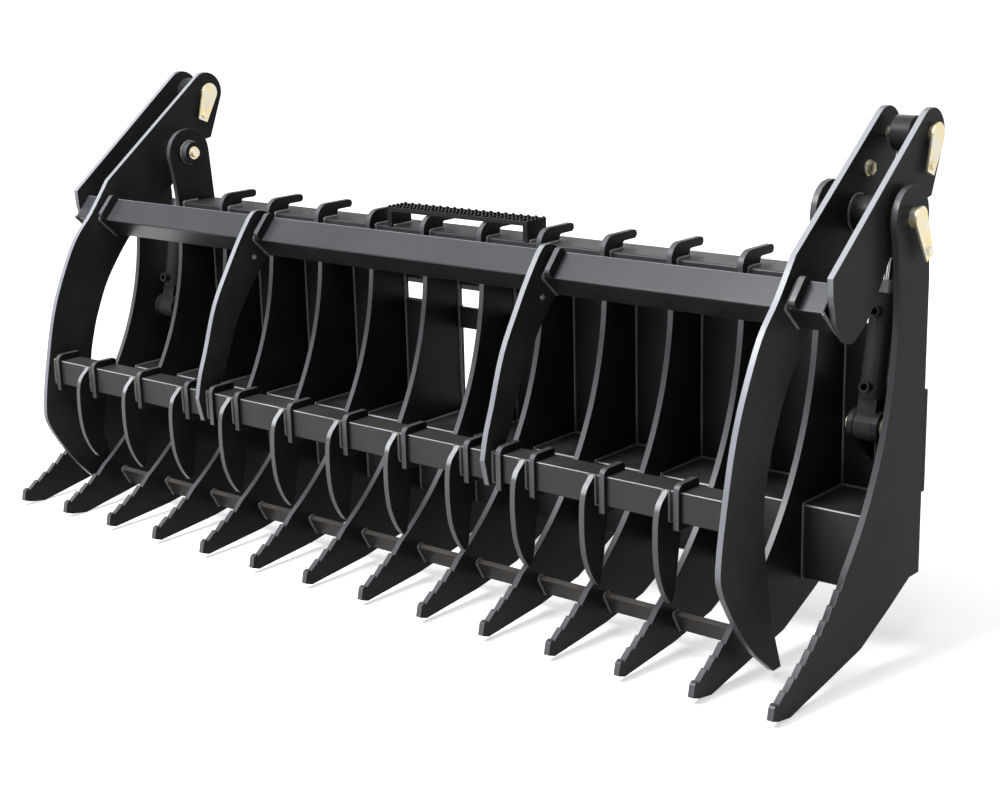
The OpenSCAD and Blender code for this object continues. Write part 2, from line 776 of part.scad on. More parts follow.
module barrel(right) {
    color(paint) along(right) difference() {
        union() {
            translate([-eye_w / 2, 0, 0]) rotate([0, 90, 0]) cylinder(h = eye_w, r = eye_r);
            translate([-eye_w / 2, -eye_r * neck_share, 0])
                cube([eye_w, 2 * eye_r * neck_share, barrel_low + cut]);
            translate([0, 0, barrel_low]) cylinder(h = barrel_top - barrel_low, d = barrel_d);
            for (s = [port_low_share, port_high_share])
                translate([0, 0, s * barrel_top]) rotate([90, 0, 0])
                    cylinder(h = barrel_d / 2 + port_h, r = port_r);
        }
        translate([-eye_w, 0, 0]) rotate([0, 90, 0]) cylinder(h = 2 * eye_w, r = rod_pin_d / 2 + run_gap);
        translate([0, 0, barrel_low + floor_t]) cylinder(h = barrel_top, d = bore_d);
        for (s = [port_low_share, port_high_share])
            translate([0, 0, s * barrel_top]) rotate([90, 0, 0])
                cylinder(h = barrel_d / 2 + port_h + cut, r = port_bore_r);
    }
}
neck_share = 0.6;

module gland(right) {
    color(steel) along(right) difference() {
        union() {
            translate([0, 0, barrel_top]) cylinder(h = gland_h, r = gland_r);
            translate([0, 0, barrel_top - gland_h]) cylinder(h = gland_h + cut, d = bore_d - 2 * pin_gap);
        }
        translate([0, 0, barrel_top - gland_h - cut])
            cylinder(h = 2 * gland_h + 2 * cut, d = rod_d + 2 * run_gap);
    }
}

// The rod eye turns round the rod pin with room for the arm's curved path
eye_room = 8.6;
rod_eye_r = 34;
piston_h = 24;
piston_gap = 22;
module rod(right) {
    piston_top = barrel_top - gland_h - piston_gap;
    color(chrome) along(right) difference() {
        union() {
            translate([0, 0, piston_top - piston_h])
                cylinder(h = cyl_len - piston_top + piston_h, d = rod_d);
            translate([0, 0, piston_top - piston_h]) cylinder(h = piston_h, d = bore_d - 2 * run_gap);
            translate([-eye_w / 2, 0, cyl_len]) rotate([0, 90, 0]) cylinder(h = eye_w, r = rod_eye_r);
        }
        translate([-eye_w, 0, cyl_len]) rotate([0, 90, 0])
            cylinder(h = 2 * eye_w, r = rod_pin_d / 2 + eye_room);
    }
}

end_plate(false);  // end_plate_left
end_plate(true);  // end_plate_right
ear_plate(false);  // ear_plate_left
ear_plate(true);  // ear_plate_right
tine(3);  // tine_03
tine(4);  // tine_04
tine(5);  // tine_05
tine(6);  // tine_06
tine(7);  // tine_07
tine(8);  // tine_08
tine(9);  // tine_09
tine(10);  // tine_10
tine(11);  // tine_11
tine(12);  // tine_12
top_tube();
back_wall();
corner_plates();
bottom_beam();
front_cross_bar();
attach_plate(false);  // attach_plate_left
attach_plate(true);  // attach_plate_right
attach_top_lip();
step_grating();
step_brackets();
cylinder_lugs();
base_pin(false);  // base_pin_left
base_pin(true);  // base_pin_right
pivot_pin(false);  // pivot_pin_left
pivot_pin(true);  // pivot_pin_right
upper_beam();
lower_beam();
arm_inner(false);  // arm_inner_left
arm_inner(true);  // arm_inner_right
arm_outer(false);  // arm_outer_left
arm_outer(true);  // arm_outer_right
claw(false);  // claw_left
claw(true);  // claw_right
finger(1);  // finger_01
finger(2);  // finger_02
finger(3);  // finger_03
finger(4);  // finger_04
finger(5);  // finger_05
finger(6);  // finger_06
finger(7);  // finger_07
finger(8);  // finger_08
finger(9);  // finger_09
finger(10);  // finger_10
finger(11);  // finger_11
beam_saddles();
arm_hubs();
pivot_bushes();
rod_pin(false);  // rod_pin_left
rod_pin(true);  // rod_pin_right
barrel(false);  // barrel_left
barrel(true);  // barrel_right
gland(false);  // gland_left
gland(true);  // gland_right
rod(false);  // rod_left
rod(true);  // rod_right
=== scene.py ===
"""Grapple rake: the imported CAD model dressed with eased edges, weld beads, enamel, zinc and chrome."""

import json
import math

import bmesh
import bpy
import numpy as np
from mathutils import Matrix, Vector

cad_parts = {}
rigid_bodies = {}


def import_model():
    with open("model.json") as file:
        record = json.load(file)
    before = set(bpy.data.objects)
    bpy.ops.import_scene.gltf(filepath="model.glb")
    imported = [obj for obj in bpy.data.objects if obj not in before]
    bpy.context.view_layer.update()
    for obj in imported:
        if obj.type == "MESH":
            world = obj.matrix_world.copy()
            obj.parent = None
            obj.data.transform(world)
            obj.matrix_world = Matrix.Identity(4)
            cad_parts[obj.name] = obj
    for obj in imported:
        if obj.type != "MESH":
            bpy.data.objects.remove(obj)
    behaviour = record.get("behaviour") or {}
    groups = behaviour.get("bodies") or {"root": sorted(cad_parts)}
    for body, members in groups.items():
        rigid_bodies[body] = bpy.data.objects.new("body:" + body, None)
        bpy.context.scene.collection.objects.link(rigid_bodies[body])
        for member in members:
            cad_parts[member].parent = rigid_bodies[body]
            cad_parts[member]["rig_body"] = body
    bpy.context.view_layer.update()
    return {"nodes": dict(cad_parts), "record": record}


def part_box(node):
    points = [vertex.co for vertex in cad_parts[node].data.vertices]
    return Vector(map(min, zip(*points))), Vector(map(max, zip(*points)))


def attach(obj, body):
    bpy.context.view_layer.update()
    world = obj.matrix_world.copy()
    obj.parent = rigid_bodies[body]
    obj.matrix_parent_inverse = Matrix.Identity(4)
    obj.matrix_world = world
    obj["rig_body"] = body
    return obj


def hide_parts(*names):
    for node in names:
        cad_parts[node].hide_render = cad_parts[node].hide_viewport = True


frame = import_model()


# Camera: it stands in front of the right end of the rake, higher than the clamp's arms, and looks down on it
# through a long lens. The small roll tips the picture as the photograph has it.
def linked(name, data):
    """A new object of the scene that holds this camera, lamp or mesh."""
    thing = bpy.data.objects.new(name, data)
    bpy.context.scene.collection.objects.link(thing)
    return thing


def stood(name, data, axes, place):
    """A camera or lamp from the directions of its X, Y and Z axes and its place. It looks along its -Z."""
    turned = np.eye(4)
    turned[:3, :3] = np.stack(axes, axis=1)
    turned[:3, 3] = place
    thing = linked(name, data)
    thing.matrix_world = Matrix(turned.tolist())
    return thing


azimuth, elevation, roll = (math.radians(angle) for angle in (39.929, 14.854, -1.455))
standpoint = (2.547, -2.7885, 1.356)
focal_length, sensor_width, sight = 64.8, 36.0, 100.0
behind = np.array(
    [math.sin(azimuth) * math.cos(elevation), -math.cos(azimuth) * math.cos(elevation), math.sin(elevation)]
)
level = np.array([math.cos(azimuth), math.sin(azimuth), 0.0])
rise = np.cross(behind, level)
right = math.cos(roll) * level + math.sin(roll) * rise
up = math.cos(roll) * rise - math.sin(roll) * level
camera_data = bpy.data.cameras.new("camera")
camera_data.lens = focal_length
camera_data.sensor_width = sensor_width
camera_data.sensor_fit = "HORIZONTAL"
camera_data.clip_end = sight
bpy.context.scene.camera = stood("camera", camera_data, (right, up, behind), standpoint)
bpy.context.scene.view_settings.view_transform = "Standard"


# Studio: a pale floor at the level of the tine heels, a white surround, and wide soft lamps before, above and
# behind the rake. Surround and floor show white to the camera and to metal, and light the rake evenly.
class Wire:
    """One output socket of a node tree. Arithmetic on it adds Math nodes, and made() adds any other node."""

    def __init__(self, tree, socket=None):
        self.tree = tree
        self.socket = socket

    def made(self, kind, settings, values, out=0):
        """A node of that kind: its settings come first, then the values or wires of its inputs. Inputs and
        the output go by name or number."""
        node = self.tree.nodes.new(kind)
        for key, value in settings.items():
            setattr(node, key, value)
        for key, value in values.items():
            if isinstance(value, Wire):
                self.tree.links.new(value.socket, node.inputs[key])
            else:
                node.inputs[key].default_value = value
        return Wire(self.tree, node.outputs[out] if node.outputs else None)

    def beside(self, out):
        """Another output of the node that this wire comes from."""
        return Wire(self.tree, self.socket.node.outputs[out])

    def maths(self, operation, first, second):
        """A Math node on two values or wires."""
        return self.made("ShaderNodeMath", {"operation": operation}, {0: first, 1: second})

    def __add__(self, other):
        return self.maths("ADD", self, other)

    __radd__ = __add__

    def __sub__(self, other):
        return self.maths("SUBTRACT", self, other)

    def __rsub__(self, other):
        return self.maths("SUBTRACT", other, self)

    def __mul__(self, other):
        return self.maths("MULTIPLY", self, other)

    __rmul__ = __mul__

    def __abs__(self):
        return self.maths("ABSOLUTE", self, 0.0)

    def between(self, low, high):
        """0 below low, 1 above high, and a smooth step from one to the other."""
        values = {0: self, 1: low, 2: high, 3: 0.0, 4: 1.0}
        return self.made("ShaderNodeMapRange", {"interpolation_type": "SMOOTHSTEP"}, values)

    def blend(self, plain, covered):
        """The plain colour where this wire is 0, and the covered one where it is 1. A colour is a wire or
        three numbers."""
        a, b = (colour if isinstance(colour, Wire) else (*colour, 1.0) for colour in (plain, covered))
        return self.made("ShaderNodeMix", {"data_type": "RGBA"}, {0: self, 6: a, 7: b}, out=2)

    def noise(self, scale, detail, rough=0.5):
        """Noise on this wire's coordinates."""
        values = {"Vector": self, "Scale": scale, "Detail": detail, "Roughness": rough}
        return self.made("ShaderNodeTexNoise", {}, values)

    def bump(self, strength, distance):
        """A bump that has this wire as its height, for a shader's Normal."""
        return self.made("ShaderNodeBump", {}, {"Strength": strength, "Distance": distance, "Height": self})


def bare_tree(owner):
    """A wire to start from, in the emptied node tree of a world or material."""
    owner.use_nodes = True
    owner.node_tree.nodes.clear()
    return Wire(owner.node_tree)


def new_finish(name):
    """A new material, and a wire on the piece's own coordinates."""
    material = bpy.data.materials.new(name)
    return material, bare_tree(material).made("ShaderNodeTexCoord", {}, {}, out="Object")


def shown_white(light):
    """1 where the camera, a gloss or glass looks, so that the surround is white there, and 0 for the rest."""
    ray = light.made("ShaderNodeLightPath", {}, {}, out="Is Camera Ray")
    return (ray + ray.beside("Is Glossy Ray") + ray.beside("Is Transmission Ray")).between(0.0, 1.0)


white, fill_light = (1.0, 1.0, 1.0, 1.0), 0.2
world = bpy.data.worlds.new("surround")
bpy.context.scene.world = world
sky = bare_tree(world)
strength = fill_light + (1.0 - fill_light) * shown_white(sky)
surround = sky.made("ShaderNodeBackground", {}, {"Color": white, "Strength": strength})
sky.made("ShaderNodeOutputWorld", {}, {"Surface": surround})

floor_half, floor_drop, floor_grey = 40.0, 0.0005, (0.82, 0.82, 0.82, 1.0)
glow_near, glow_from, glow_to = 0.55, 1.6, 5.0
floor_corners = floor_half * np.array([[-1, -1, 0], [1, -1, 0], [1, 1, 0], [-1, 1, 0]], float)
floor_mesh = bpy.data.meshes.new("floor")
floor_mesh.from_pydata((floor_corners - [0, 0, floor_drop]).tolist(), [], [[0, 1, 2, 3]])
floor_paint, ground = new_finish("floor_paint")
matt = ground.made("ShaderNodeBsdfDiffuse", {}, {"Color": floor_grey})
away = ground.made("ShaderNodeVectorMath", {"operation": "LENGTH"}, {0: ground}, out="Value")
lit = (glow_near + (1.0 - glow_near) * away.between(glow_from, glow_to)) * shown_white(ground)
glow = ground.made("ShaderNodeEmission", {}, {"Color": white, "Strength": lit})
glowing = ground.made("ShaderNodeAddShader", {}, {0: matt, 1: glow})
ground.made("ShaderNodeOutputMaterial", {}, {"Surface": glowing})
floor_mesh.materials.append(floor_paint)
floor = linked("floor", floor_mesh)

# Each lamp: where it hangs, what it aims at, its width in metres and its power in watts.
lamps = {
    "lamp_front": ((-0.9, -2.7, 3.9), (0.2, 0.0, 0.5), 2.0, 230.0),
    "lamp_above": ((0.2, -0.9, 4.8), (0.0, 0.0, 0.3), 3.4, 110.0),
    "lamp_back": ((-1.0, 4.0, 3.0), (0.0, 0.0, 0.4), 3.0, 45.0),
}
for name, (hung, aim, width, power) in lamps.items():
    lamp_data = bpy.data.lights.new(name, "AREA")
    lamp_data.shape = "SQUARE"
    lamp_data.size = width
    lamp_data.energy = power
    z_axis = np.array(hung) - np.array(aim)
    z_axis /= np.linalg.norm(z_axis)
    x_axis = np.cross([0.0, 0.0, 1.0], z_axis)
    x_axis /= np.linalg.norm(x_axis)
    stood(name, lamp_data, (x_axis, np.cross(z_axis, x_axis), z_axis), hung)


# Rake plates: the tines, ears and ends are cut from 12.7 mm steel with a torch, so their sides are smooth
# and their cut rims are finely grooved. They are sprayed with black enamel, which lies thinner on the rims,
# and the rims are painted paler the more they face up, a painted highlight.
def piece_of(mesh, finish, body):
    """A smooth piece of that mesh and finish, which rides on the body."""
    mesh.shade_smooth()
    mesh.materials.append(finish)
    piece = linked(mesh.name, mesh)
    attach(piece, body)
    return piece


def eased(node, finish, width=0.0012):
    """A copy of the CAD solid: its triangles are joined, its flat faces are merged, and each edge where two
    faces turn by more than 32 degrees is replaced by a rounded strip of that width in two facets."""
    joined_within, flat_within, edge_turn = 0.000005, math.radians(0.4), math.radians(32)
    solid = frame["nodes"][node]
    shell = bmesh.new()
    shell.from_mesh(solid.data)
    bmesh.ops.remove_doubles(shell, verts=shell.verts, dist=joined_within)
    bmesh.ops.dissolve_limit(shell, angle_limit=flat_within, verts=shell.verts, edges=shell.edges)
    mesh = bpy.data.meshes.new(node + "_finished")
    shell.to_mesh(mesh)
    shell.free()
    piece = piece_of(mesh, finish, solid["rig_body"])
    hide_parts(node)
    mesh.set_sharp_from_angle(angle=edge_turn)
    rounding = piece.modifiers.new("rounding", "BEVEL")
    rounding.limit_method = "ANGLE"
    rounding.angle_limit = edge_turn
    rounding.width = width
    rounding.segments = 2
    rounding.harden_normals = True


def shaded(material, spot, values):
    """The material with a shader on its output, which has these values or wires on its inputs."""
    shader = spot.made("ShaderNodeBsdfPrincipled", {}, values)
    spot.made("ShaderNodeOutputMaterial", {}, {"Surface": shader})
    return material


def black_enamel(
    name, flat, low, high, gloss=0.3, dusty=0.2, shine=0.06, lacquer=0.6, ridge=None, crest=(0.35, 0.85)
):
    """Sprayed enamel. Plate sides have the flat colour, in clouds up to 1.5 times as pale. Rims and tubes run
    from the low colour, where they look down, to the high colour, where they lean up. The rims' step up from
    the sides is thinner enamel, and the rise towards the high colour is a painted highlight from the light
    above;
    level tops keep little of it, a painted shade. Rims have a coat of lacquer too, and level tops hardly any.
    A ridge colour is a painted highlight on corners whose normals rise by a share between the two of the
    crest.
    Noise clouds the dust, fine noise gives the spray's orange peel, and noise drawn out across the rims gives
    the torch grooves."""
    material, spot = new_finish(name)
    facing = spot.beside("Normal")
    sideways = facing.made("ShaderNodeSeparateXYZ", {}, {0: facing}, out="X")
    upward = sideways.beside("Z")
    rim = 1.0 - abs(sideways).between(0.35, 0.9)
    level_top = upward.between(0.85, 0.99)
    leaning = upward.between(-0.6, 0.75) * (1.0 - 0.75 * level_top)
    drawn_out = spot.made("ShaderNodeMapping", {}, {"Vector": spot, "Scale": (0.02, 1.0, 1.0)})
    clouds = spot.noise(7.0, 5.0, 0.6)
    specks = spot.noise(130.0, 3.0, 0.7)
    peel = spot.noise(420.0, 2.0)
    grooves = drawn_out.noise(300.0, 3.0)
    patches = clouds.between(0.35, 0.7)
    dust = upward.between(0.3, 0.95) * patches * dusty + specks.between(0.6, 0.8) * dusty * 0.2
    side = patches.blend(flat, [1.5 * channel for channel in flat])
    # Painted highlight: the more a rim leans up, the paler it is painted. Level tops stay darker, a painted
    # shade.
    tint = (leaning * (0.7 + 0.3 * patches)).blend(low, high)
    # A painted highlight along corners that face partly up.
    if ridge:
        highlit_corner = upward.between(crest[0], crest[0] + 0.15) * (1.0 - upward.between(crest[1], crest[1] + 0.12))
        tint = (highlit_corner * (0.55 + 0.45 * patches)).blend(tint, ridge)
    grit = (0.115, 0.108, 0.10)
    height = peel + rim * (specks.between(0.2, 0.8) + 1.5 * grooves)
    values = {
        "Base Color": dust.blend(rim.blend(side, tint), grit),
        "Roughness": gloss + 0.12 * clouds + 0.12 * rim + 0.3 * dust,
        "Coat Weight": lacquer * rim * (1.0 - patches * 0.35) * (1.0 - 0.85 * level_top),
        "Coat Roughness": 0.3,
        "Normal": height.bump(0.3, 0.0004),
        "Specular IOR Level": shine,
    }
    return shaded(material, spot, values)


plate_enamel = black_enamel(
    "plate_enamel", (0.011, 0.0115, 0.012), (0.03, 0.03, 0.032), (0.12, 0.125, 0.14), dusty=0.1
)
end_enamel = black_enamel(
    "end_enamel", (0.017, 0.0175, 0.018), (0.03, 0.03, 0.032), (0.13, 0.135, 0.15), shine=0.04
)
ear_plates = ["ear_plate_left", "ear_plate_right"]
tines = [f"tine_{i:02d}" for i in range(3, 13)]
for node in ear_plates + tines:
    eased(node, plate_enamel)
for node in ("end_plate_left", "end_plate_right"):
    eased(node, end_enamel)


# Weld beads of the rake frame: passes beside the plates, along the members they cross, and others along
# the wall, the ears' bosses, the loader's plates, the stiffeners, the step's feet and the cylinder lugs.
# They are sprayed over with the rest, and are painted paler as a painted highlight.
def sleeve(start, rings, around):
    """The four-sided faces between neighbouring rings of points, which are numbered from start."""
    row, place = np.arange(rings - 1)[:, None], np.arange(around)[None, :]
    a = start + around * row + place
    b = start + around * row + (place + 1) % around
    return np.stack([a, b, b + around, a + around], axis=-1).reshape(-1, 4)


def shell_of(name, points, faces, finish, body):
    """A new piece from lists of arrays of points and the faces on them, and its mesh."""
    mesh = bpy.data.meshes.new(name)
    mesh.from_pydata(np.concatenate(points).tolist(), [], faces)
    piece_of(mesh, finish, body)
    return mesh


def beads(name, runs, size, finish, body):
    """Beads along runs of points. Each run is cut into 4 mm steps, and a ring of six points stands across it
    at each step. The ring's radius is size x (1 + 0.14 sin(2 pi s / 9 mm) + a little chance), so the passes
    ripple."""
    step, ripple, around, seed = 0.004, 0.009, 6, 11
    turn = 2.0 * np.pi * np.arange(around)[None, :, None] / around
    chance = np.random.default_rng(seed)
    points, faces, start = [], [], 0
    for run in runs:
        run = np.array(run, float)
        length = np.concatenate([[0.0], np.cumsum(np.linalg.norm(np.diff(run, axis=0), axis=1))])
        rings = max(3, int(length[-1] / step))
        s = np.linspace(0.0, length[-1], rings)
        middle = np.stack([np.interp(s, length, run[:, axis]) for axis in range(3)], axis=1)
        ahead = np.gradient(middle, axis=0)
        ahead /= np.linalg.norm(ahead, axis=1)[:, None]
        sidelong = np.where(np.abs(ahead[:, :1]) > 0.9, [[0.0, 1.0, 0.0]], [[1.0, 0.0, 0.0]])
        upright = np.cross(ahead, sidelong)
        uneven = 0.1 * chance.standard_normal(rings).clip(-1, 1)
        radius = size * (1.0 + 0.14 * np.sin(2.0 * np.pi * s / ripple) + uneven)
        section = np.cos(turn) * sidelong[:, None, :] + np.sin(turn) * upright[:, None, :]
        points.append((middle[:, None, :] + radius[:, None, None] * section).reshape(-1, 3))
        end = start + around * rings
        faces += sleeve(start, rings, around)[:, ::-1].tolist()
        faces += [list(range(start, start + around)), list(range(end - 1, end - around - 1, -1))]
        start = end
    shell_of(name, points, faces, finish, body)


def box_of(node):
    """The CAD solid's lowest and highest corner, as two arrays."""
    low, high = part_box(node)
    return np.array(low), np.array(high)


def run_at(x, outline):
    """An outline of the YZ plane as a run of points at x."""
    return [(x, y, z) for y, z in outline]


def circle_at(x, middle, radius):
    """A circle at x round a point of the YZ plane, as a closed run in 48 steps."""
    turns = np.linspace(0.0, 2.0 * np.pi, 49)
    return [(x, middle[0] + radius * math.cos(turn), middle[1] + radius * math.sin(turn)) for turn in turns]


plate_thickness, bead_from_middle, frame_bead = 0.0127, 0.0064, 0.0042
hook_seat, bar_width, bar_lean = 0.044, 0.044, math.radians(29.0)
boss_radius, lug_pair, foot_inset = 0.027, 0.064, 0.006
joints = {joint["name"]: joint for joint in frame["record"]["behaviour"]["joints"]}
clamp_axis = joints["clamp_pivot"]["pos_m"][1:]
# The beads are painted much paler than the enamel round them: a painted highlight for the light their ripples
# catch.
weld_highlight_enamel = black_enamel(
    "weld_highlight_enamel", (0.10, 0.094, 0.088), (0.05, 0.047, 0.044), (0.20, 0.19, 0.18), gloss=0.22, shine=0.3
)
tube_low, tube_high = box_of("top_tube")
beam_low, beam_high = box_of("bottom_beam")
wall_low, wall_high = box_of("back_wall")
bar_low, bar_high = box_of("front_cross_bar")
lug_low, lug_high = box_of("cylinder_lugs")
mount_low, mount_high = box_of("attach_plate_right")
stiff_low, stiff_high = box_of("corner_plates")
bracket_low, bracket_high = box_of("step_brackets")

tube_run = [
    (tube_low[1] + hook_seat, tube_high[2]),
    (tube_low[1], tube_high[2]),
    (tube_low[1], tube_low[2]),
    (wall_low[1], tube_low[2]),
]
beam_run = [(wall_low[1], beam_high[2]), (beam_low[1], beam_high[2]), (beam_low[1], beam_low[2])]
wall_run = [(wall_low[1], z) for z in (beam_high[2], tube_low[2])]
end_wall_run = [(wall_low[1], z) for z in (beam_high[2], stiff_high[2])]
mount_run = [(wall_high[1], z) for z in (mount_low[2], mount_high[2])]
stiff_run = [(wall_high[1], z) for z in (stiff_low[2], stiff_high[2])]
lug_run = [(wall_low[1], z) for z in (lug_low[2], lug_high[2])]
foot_run = [(y, bracket_low[2]) for y in (bracket_low[1] + foot_inset, bracket_high[1])]
bar_depth = np.array([math.cos(bar_lean), math.sin(bar_lean)])
bar_up = np.array([-math.sin(bar_lean), math.cos(bar_lean)])
bar_foot = np.array([bar_high[1], bar_low[2]]) - plate_thickness / 2.0 * bar_depth * [1, -1]
bar_front = bar_foot - plate_thickness / 2.0 * bar_depth
bar_rear = bar_foot + plate_thickness / 2.0 * bar_depth
bar_run = [bar_front, bar_front + bar_width * bar_up, bar_rear + bar_width * bar_up, bar_rear]

frame_runs = []
for node in ear_plates + tines:
    low, high = box_of(node)
    middle = (low[0] + high[0]) / 2.0
    if node in ear_plates:
        outer_face = max(abs(low[0]), abs(high[0]))
        middle = math.copysign(outer_face - plate_thickness / 2.0, middle)
    for x in (middle - bead_from_middle, middle + bead_from_middle):
        frame_runs += [run_at(x, beam_run), run_at(x, wall_run)]
        if node in tines or abs(x) < abs(middle):
            frame_runs += [run_at(x, tube_run), run_at(x, bar_run)]
for x in (wall_low[0], wall_high[0]):
    frame_runs += [run_at(x, beam_run), run_at(x, end_wall_run)]
for y, z, reach in (
    (wall_low[1], tube_low[2], tube_high[0]),
    (wall_high[1], tube_low[2], tube_high[0]),
    (wall_low[1], beam_high[2], wall_high[0]),
):
    frame_runs.append([(-reach, y, z), (reach, y, z)])
ear_face, stiff_edge = tube_high[0], tube_high[0] - plate_thickness
for side in (-1, 1):
    frame_runs += [
        circle_at(side * ear_face, clamp_axis, boss_radius),
        run_at(side * mount_high[0], mount_run),
        run_at(side * stiff_edge, stiff_run),
        [(side * reach, wall_high[1], stiff_low[2]) for reach in (stiff_edge, wall_high[0])],
    ]
    for inward in (0.0, plate_thickness):
        frame_runs.append(run_at(side * (bracket_high[0] - inward), foot_run))
    for inward in (0.0, plate_thickness, lug_pair - plate_thickness, lug_pair):
        frame_runs.append(run_at(side * (lug_high[0] - inward), lug_run))
beads("frame_welds", frame_runs, frame_bead, weld_highlight_enamel, "frame")

# Members along the width: the square top tube and bottom beam are rolled, with broad rounded corners, and
# the beam's corners that face partly up carry a painted highlight. The flat bar through the tine tips is dull
# and dusty from work.
# The pale third colour is painted on upward-facing corners as a painted highlight.
deep_black, tube_shade, corner_highlight = (0.010, 0.010, 0.011), (0.012, 0.011, 0.011), (0.5, 0.53, 0.57)
tube_enamel = black_enamel(
    "tube_enamel", deep_black, tube_shade, (0.045, 0.048, 0.056), dusty=0.12, lacquer=0.7
)
beam_enamel = black_enamel(
    "beam_enamel", deep_black, tube_shade, (0.040, 0.042, 0.048), lacquer=0.7, ridge=corner_highlight
)
bar_enamel = black_enamel(
    "bar_enamel",
    (0.03, 0.028, 0.026),
    (0.036, 0.032, 0.029),
    (0.10, 0.09, 0.082),
    gloss=0.4,
    dusty=0.5,
    lacquer=0.3,
)
eased("top_tube", tube_enamel, width=0.006)
eased("bottom_beam", beam_enamel, width=0.006)
eased("front_cross_bar", bar_enamel, width=0.002)

# Back wall and loader mount: sheet with square windows, stiffeners in the end bays, and behind it the two
# quick-attach plates with their slotted feet and the sloping top lip. All are sprayed in one duller black.
wall_enamel = black_enamel(
    "wall_enamel",
    deep_black,
    (0.012, 0.012, 0.013),
    (0.03, 0.031, 0.034),
    gloss=0.34,
    dusty=0.3,
    lacquer=0.3,
)
for node in ("back_wall", "corner_plates", "attach_plate_left", "attach_plate_right", "attach_top_lip"):
    eased(node, wall_enamel, width=0.0015)

# Step: serrated bars between two rails, on two brackets over the middle of the top tube. The bars are thin,
# so their edges are only just broken.
for node in ("step_grating", "step_brackets"):
    eased(node, wall_enamel, width=0.0004)

# Cylinder base lugs: four cut plates, welded to the back wall inside the end bays and sprayed in the wall's
# black.
eased("cylinder_lugs", wall_enamel)

# Clamp: arms, claws, fingers and saddles are cut plate, and the two square tubes run through them. The arms'
# and claws' rims carry the strongest painted highlight, and the fingers' sloping rims and the tubes' upper
# corners carry painted highlights too.
# The arms' pale bluish high colour is a painted highlight on rims that face up.
arm_enamel = black_enamel(
    "arm_enamel", (0.022, 0.0225, 0.0235), (0.05, 0.053, 0.06), (0.38, 0.40, 0.45), shine=0.04, lacquer=1.0
)
# The ridge colours of the fingers and of both square tubes are painted highlights on their bends and upper
# corners.
finger_enamel = black_enamel(
    "finger_enamel",
    deep_black,
    (0.035, 0.032, 0.030),
    (0.15, 0.15, 0.155),
    ridge=(0.42, 0.44, 0.47),
    crest=(0.3, 0.8),
)
upper_enamel = black_enamel(
    "upper_enamel",
    deep_black,
    (0.010, 0.010, 0.010),
    (0.042, 0.046, 0.056),
    lacquer=0.7,
    ridge=(0.3, 0.32, 0.36),
    crest=(0.76, 1.2),
)
lower_enamel = black_enamel(
    "lower_enamel", deep_black, (0.018, 0.017, 0.016), (0.048, 0.047, 0.048), lacquer=0.4, ridge=corner_highlight
)
inner_arms, claws = ["arm_inner_left", "arm_inner_right"], ["claw_left", "claw_right"]
fingers = [f"finger_{i:02d}" for i in range(1, 12)]
for node in inner_arms + ["arm_outer_left", "arm_outer_right"] + claws:
    eased(node, arm_enamel)
for node in fingers:
    eased(node, finger_enamel)
eased("beam_saddles", plate_enamel)
eased("upper_beam", upper_enamel, width=0.005)
eased("lower_beam", lower_enamel, width=0.005)
eased("arm_hubs", wall_enamel)

# Weld beads of the clamp: round both square tubes where they meet the arms and claws, along the fingers'
# seats, and round the hubs between the arm plates. On a claw the tubes' back sides have no bead.
upper_tilt, hub_radius, clamp_bead, touching = math.radians(47.0), 0.034, 0.004, 0.001
upper_low, upper_high = box_of("upper_beam")
lower_low, lower_high = box_of("lower_beam")
square = np.array([[1, 1], [-1, 1], [-1, -1], [1, -1], [1, 1]], float)
tilted = np.array(
    [[math.cos(upper_tilt), -math.sin(upper_tilt)], [math.sin(upper_tilt), math.cos(upper_tilt)]]
)
upper_half = (upper_high[1] - upper_low[1]) / (2.0 * (math.cos(upper_tilt) + math.sin(upper_tilt)))
upper_run = (upper_low[1:] + upper_high[1:]) / 2.0 + upper_half * square @ tilted.T
lower_middle = (lower_low[1:] + lower_high[1:]) / 2.0
lower_run = lower_middle + (lower_high[1:] - lower_low[1:]) / 2.0 * square
finger_run = [lower_run[1], lower_run[2], (lower_middle[0], lower_run[2][1])]
clamp_runs = []
for node in claws + inner_arms:
    low, high = box_of(node)
    corners = 4 if node in claws else 5
    for x in (low[0], high[0]):
        clamp_runs.append(run_at(x, upper_run[:corners]))
        if node in claws or abs(x) < lower_high[0] + touching:
            clamp_runs.append(run_at(x, lower_run[:corners]))
for x in (upper_low[0], upper_high[0]):
    clamp_runs.append(run_at(x, upper_run[1:4]))
for node in fingers:
    low, high = box_of(node)
    clamp_runs += [run_at(x, finger_run) for x in (low[0], high[0])]
inner_arm_face, outer_arm_face = box_of("arm_inner_right")[1][0], box_of("arm_outer_right")[0][0]
for side in (-1, 1):
    clamp_runs += [circle_at(side * x, clamp_axis, hub_radius) for x in (inner_arm_face, outer_arm_face)]
beads("clamp_welds", clamp_runs, clamp_bead, weld_highlight_enamel, "clamp")


# Pins: the clamp's pivot pins and the rod pins, with the flags that keep them from turning, and the base pins
# of the cylinders. They are turned steel with yellow zinc plate, a little cloudy.
def plated(name, colour, other, gloss):
    """Zinc or turned steel: two tones in clouds, with fine turning marks as a bump."""
    material, spot = new_finish(name)
    clouds = spot.noise(45.0, 4.0, 0.6)
    marks = spot.noise(900.0, 2.0)
    values = {
        "Base Color": clouds.between(0.35, 0.65).blend(colour, other),
        "Roughness": gloss + 0.15 * clouds,
        "Metallic": 0.9,
        "Normal": marks.bump(0.15, 0.0002),
    }
    return shaded(material, spot, values)


zinc = plated("zinc_plate", (0.80, 0.66, 0.36), (0.72, 0.70, 0.62), 0.28)
for pin in ("pivot_pin_", "rod_pin_", "base_pin_"):
    for side in ("left", "right"):
        eased(pin + side, zinc, width=0.0008)


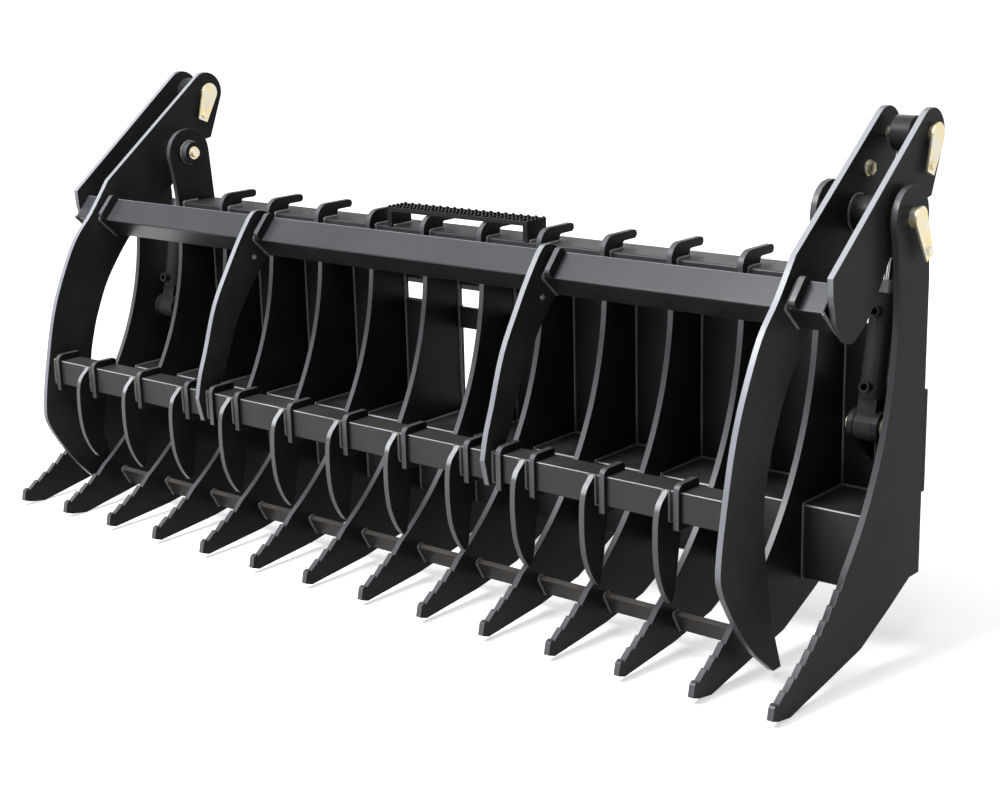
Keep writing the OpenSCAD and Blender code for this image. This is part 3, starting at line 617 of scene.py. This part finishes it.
# Lock bolts: a zinc hexagon bolt with a washer on the cylinder side of each inner arm, below the rod pin. The
# washer is pressed into the arm's paint.
def bolt_at(middle, rows, around):
    """The points of a bolt along X, in rings, which stands out to the nearer end of the rake. Each row is how
    far out a ring is, its radius, and 1 for a hexagon or 0 for a circle. A circle's section is its radius,
    and a hexagon's is radius / cos(angle from the middle of the nearest flat)."""
    side = math.copysign(1.0, middle[0])
    out, radius, hexagonal = np.array(rows, float).T[:, :, None]
    turn, sixth = 2.0 * np.pi * np.arange(around) / around, np.pi / 3.0
    to_flat = np.cos((turn + sixth / 2.0) % sixth - sixth / 2.0)
    section = radius * np.where(hexagonal > 0.5, 1.0 / to_flat, 1.0)
    x = middle[0] + side * out
    y = middle[1] + section * np.cos(turn)
    z = middle[2] + side * section * np.sin(turn)
    return np.stack(np.broadcast_arrays(x, y, z), axis=-1).reshape(-1, 3)


bolt_y, bolt_z, bolt_sink, bolt_around, bolt_crease = 0.1845, 0.904, 0.0002, 36, math.radians(28)
bolt_rows = [
    (0, 0.015, 0),
    (0.0028, 0.015, 0),
    (0.0032, 0.0145, 0),
    (0.0032, 0.0115, 1),
    (0.0108, 0.0115, 1),
    (0.0118, 0.0095, 0),
]
bolt_points, bolt_faces, start = [], [], 0
for side in (-1, 1):
    bolt_middle = (side * (inner_arm_face - bolt_sink), bolt_y, bolt_z)
    bolt_points.append(bolt_at(bolt_middle, bolt_rows, bolt_around))
    end = start + bolt_around * len(bolt_rows)
    bolt_faces += sleeve(start, len(bolt_rows), bolt_around).tolist()
    bolt_faces += [list(range(start + bolt_around - 1, start - 1, -1)), list(range(end - bolt_around, end))]
    start = end
bolt_mesh = shell_of("lock_bolts", bolt_points, bolt_faces, zinc, "clamp")
bolt_mesh.set_sharp_from_angle(angle=bolt_crease)

# Pivot bushes: bare turned steel rings inside the arms' hubs, in which the pivot pins turn. They are
# neither sprayed nor plated.
turned_steel = plated("turned_steel", (0.33, 0.33, 0.34), (0.25, 0.25, 0.26), 0.3)
eased("pivot_bushes", turned_steel, width=0.0006)


# Hydraulic cylinders: a black barrel with its base eye and two hose ports, a turned head, and a chromed rod
# whose eye is sprayed black with the barrel.
def chromed_rod(name, eye, radius):
    """Chrome, and black enamel within that radius of the eye's axis, which runs along X through a point
    of YZ."""
    material, spot = new_finish(name)
    along_y = spot.made("ShaderNodeSeparateXYZ", {}, {0: spot}, out="Y")
    off_y, off_z = along_y - eye[0], along_y.beside("Z") - eye[1]
    shaft = (off_y * off_y + off_z * off_z).between(radius**2, (1.02 * radius) ** 2)
    clouds = spot.noise(45.0, 4.0, 0.6)
    values = {
        "Base Color": shaft.blend((0.02, 0.02, 0.022), (0.72, 0.73, 0.75)),
        "Roughness": 0.36 - 0.28 * shaft + 0.08 * clouds,
        "Metallic": shaft,
        "Normal": clouds.bump(0.1, 0.0002),
        "Specular IOR Level": 0.15,
    }
    return shaded(material, spot, values)


rod_eye, eye_paint_radius = (0.2605, 0.96099), 0.036
# The barrel's flat colour is paler than the plates': a painted reflection of the surround in its gloss.
cylinder_enamel = black_enamel(
    "cylinder_enamel",
    (0.020, 0.020, 0.021),
    (0.030, 0.030, 0.031),
    (0.045, 0.046, 0.049),
    gloss=0.4,
    lacquer=0.15,
)
for side in ("left", "right"):
    eased("barrel_" + side, cylinder_enamel, width=0.0008)
    eased("gland_" + side, turned_steel, width=0.0006)
    chrome = chromed_rod("chromed_rod_" + side, rod_eye, eye_paint_radius)
    eased("rod_" + side, chrome, width=0.0006)
